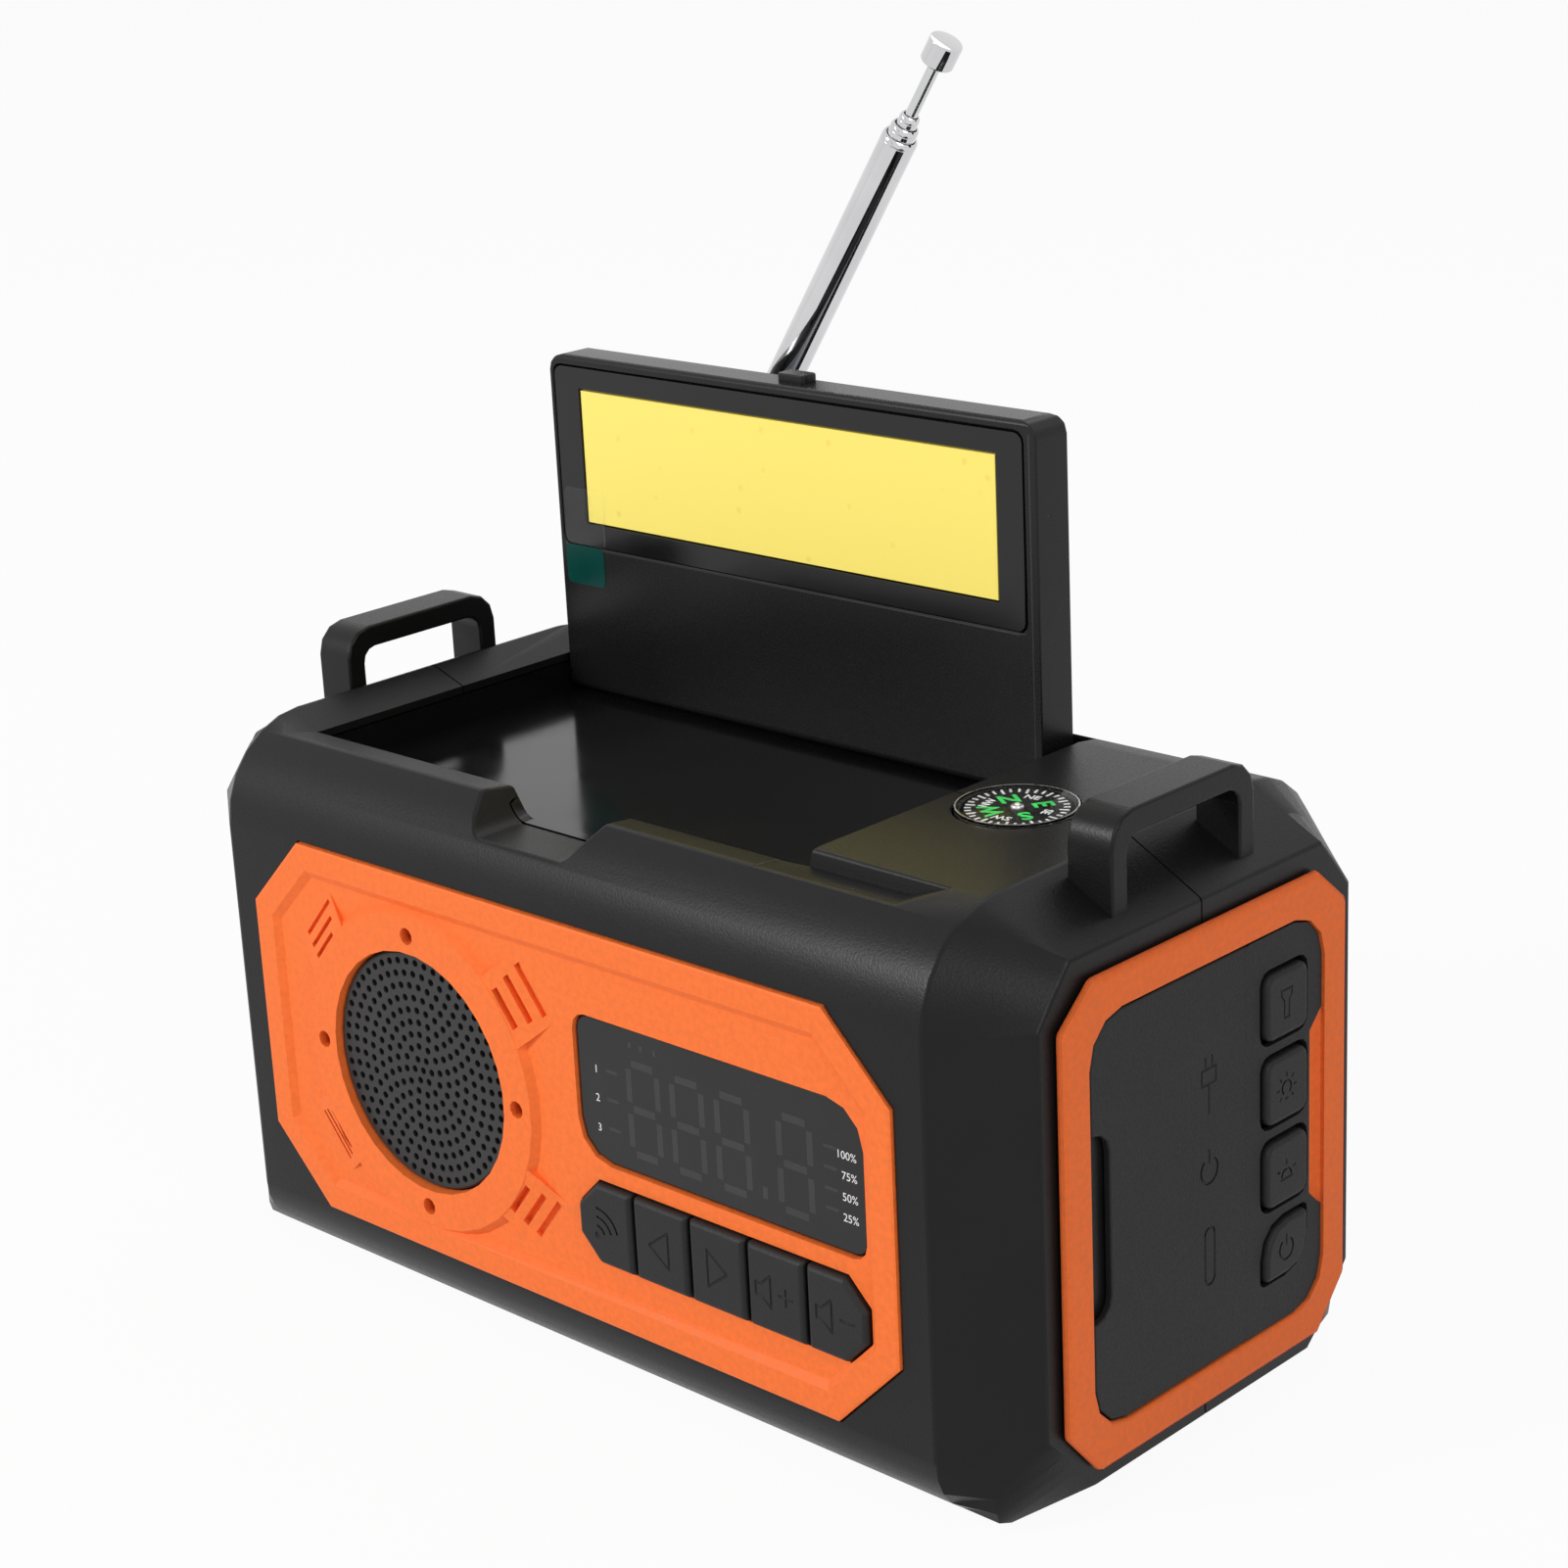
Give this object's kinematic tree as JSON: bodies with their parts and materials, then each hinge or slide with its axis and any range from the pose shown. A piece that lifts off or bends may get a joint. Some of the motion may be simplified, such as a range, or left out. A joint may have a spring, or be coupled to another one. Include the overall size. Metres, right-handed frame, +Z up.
{
  "type": "emergency radio",
  "caption": "Portable emergency radio: moulded case with speaker, display and keys in front, rubber side panel, lamp lid over a tray, compass, folding telescopic aerial, torch and hand crank.",
  "frame": {"origin": "centre of the base, on the supporting plane", "axes": "+X towards the end with the sockets, -Y the front with the speaker, +Z up"},
  "size_m": [0.1811, 0.093, 0.1982],
  "materials": {
    "black_plastic": "satin grain",
    "gloss_black": "gloss",
    "orange_plastic": "fine spark texture",
    "black_rubber": "matte",
    "smoked_window": "gloss, smoked",
    "lamp_yellow": "satin",
    "solar_cell": "gloss",
    "chrome": "polished",
    "steel": "satin",
    "clear": "clear",
    "board_green": "satin",
    "nylon": "satin",
    "paper_cone": "matte",
    "cell_wrap": "wrapped",
    "ferrite": "matte",
    "reflector": "mirror"
  },
  "bodies": {
    "radio": {"front_shell": "black_plastic", "rear_shell": "black_plastic", "strap_loop_left": "black_plastic", "strap_loop_right": "black_plastic", "front_plate": "orange_plastic", "speaker_grille": "black_plastic", "speaker_frame": "steel", "speaker_cone": "paper_cone", "display_window": "smoked_window", "display_board": "board_green", "right_ring": "orange_plastic", "side_keypad": "black_rubber", "port_panel": "black_plastic", "usb_a_socket": "steel", "type_c_socket": "steel", "side_board": "board_green", "left_ring": "orange_plastic", "torch_panel": "black_plastic", "torch_lens": "clear", "torch_reflector": "reflector", "torch_led_board": "nylon", "top_tray": "gloss_black", "compass_cup": "black_plastic", "compass_dome": "clear", "lid_pin_left": "steel", "lid_pin_right": "steel", "antenna_root": "steel", "antenna_pin": "steel", "dynamo_housing": "steel", "battery_cell": "cell_wrap", "main_board": "board_green", "ferrite_rod": "ferrite", "rear_screw_1": "steel", "rear_screw_2": "steel", "rear_screw_3": "steel", "rear_screw_4": "steel"},
    "mode_key": {"mode_key": "black_rubber"},
    "tune_down_key": {"tune_down_key": "black_rubber"},
    "tune_up_key": {"tune_up_key": "black_rubber"},
    "volume_up_key": {"volume_up_key": "black_rubber"},
    "volume_down_key": {"volume_down_key": "black_rubber"},
    "torch_button": {"torch_button": "black_rubber"},
    "lamp_button": {"lamp_button": "black_rubber"},
    "alarm_button": {"alarm_button": "black_rubber"},
    "power_button": {"power_button": "black_rubber"},
    "flap": {"side_flap": "black_rubber"},
    "lid": {"lid_frame": "black_plastic", "lamp_window": "smoked_window", "lamp_panel": "lamp_yellow", "solar_panel": "solar_cell"},
    "compass_card": {"compass_card": "black_plastic"},
    "aerial_tube": {"antenna_tube": "chrome"},
    "aerial_section_2": {"antenna_section_2": "chrome"},
    "aerial_section_3": {"antenna_section_3": "chrome"},
    "aerial_rod": {"antenna_rod": "chrome", "antenna_knob": "steel"},
    "crank": {"crank_arm": "black_plastic", "crank_gear": "nylon"},
    "crank_handle": {"crank_handle": "black_plastic"},
    "dynamo": {"dynamo_rotor": "steel"}
  },
  "joints": [
    {"name": "mode_key_press", "type": "slide", "parent": "radio", "child": "mode_key", "axis": [0, 1, 0], "range_m": [0, 0.0008], "stiffness_N_per_m": 600},
    {"name": "tune_down_key_press", "type": "slide", "parent": "radio", "child": "tune_down_key", "axis": [0, 1, 0], "range_m": [0, 0.0008], "stiffness_N_per_m": 600},
    {"name": "tune_up_key_press", "type": "slide", "parent": "radio", "child": "tune_up_key", "axis": [0, 1, 0], "range_m": [0, 0.0008], "stiffness_N_per_m": 600},
    {"name": "volume_up_key_press", "type": "slide", "parent": "radio", "child": "volume_up_key", "axis": [0, 1, 0], "range_m": [0, 0.0008], "stiffness_N_per_m": 600},
    {"name": "volume_down_key_press", "type": "slide", "parent": "radio", "child": "volume_down_key", "axis": [0, 1, 0], "range_m": [0, 0.0008], "stiffness_N_per_m": 600},
    {"name": "torch_button_press", "type": "slide", "parent": "radio", "child": "torch_button", "axis": [-1, 0, 0], "range_m": [0, 0.0008], "stiffness_N_per_m": 600},
    {"name": "lamp_button_press", "type": "slide", "parent": "radio", "child": "lamp_button", "axis": [-1, 0, 0], "range_m": [0, 0.0008], "stiffness_N_per_m": 600},
    {"name": "alarm_button_press", "type": "slide", "parent": "radio", "child": "alarm_button", "axis": [-1, 0, 0], "range_m": [0, 0.0008], "stiffness_N_per_m": 600},
    {"name": "power_button_press", "type": "slide", "parent": "radio", "child": "power_button", "axis": [-1, 0, 0], "range_m": [0, 0.0008], "stiffness_N_per_m": 600},
    {"name": "flap_hinge", "type": "hinge", "parent": "radio", "child": "flap", "pos_m": [0.0899, 0.009, 0.0439], "axis": [0, 0, 1], "range_deg": [0, 120]},
    {"name": "lid_hinge", "type": "hinge", "parent": "radio", "child": "lid", "pos_m": [0, 0.0263, 0.08575], "axis": [1, 0, 0], "range_deg": [0, 90]},
    {"name": "compass_turn", "type": "hinge", "parent": "radio", "child": "compass_card", "pos_m": [0.0551, 0, 0.0905], "axis": [0, 0, 1], "continuous": true},
    {"name": "aerial_fold", "type": "hinge", "parent": "radio", "child": "aerial_tube", "pos_m": [-0.0621, 0.039, 0.08655], "axis": [0, 1, 0], "range_deg": [-34, 53.5]},
    {"name": "aerial_slide_2", "type": "slide", "parent": "aerial_tube", "child": "aerial_section_2", "axis": [0.5592, 0, 0.829], "range_m": [0, 0.095]},
    {"name": "aerial_slide_3", "type": "slide", "parent": "aerial_section_2", "child": "aerial_section_3", "axis": [0.5592, 0, 0.829], "range_m": [0, 0.095]},
    {"name": "aerial_slide_rod", "type": "slide", "parent": "aerial_section_3", "child": "aerial_rod", "axis": [0.5592, 0, 0.829], "range_m": [0, 0.095]},
    {"name": "crank_spin", "type": "hinge", "parent": "radio", "child": "crank", "pos_m": [0, 0.038, 0.04325], "axis": [0, 1, 0], "continuous": true},
    {"name": "crank_handle_fold", "type": "hinge", "parent": "crank", "child": "crank_handle", "pos_m": [0, 0.044, 0.01925], "axis": [-1, 0, 0], "range_deg": [0, 90]},
    {"name": "dynamo_spin", "type": "hinge", "parent": "radio", "child": "dynamo", "pos_m": [0.024, 0.01, 0.04325], "axis": [0, 1, 0], "continuous": true}
  ],
  "couplings": [
    {"joint": "dynamo_spin", "follows": "crank_spin", "ratio": -3}
  ]
}
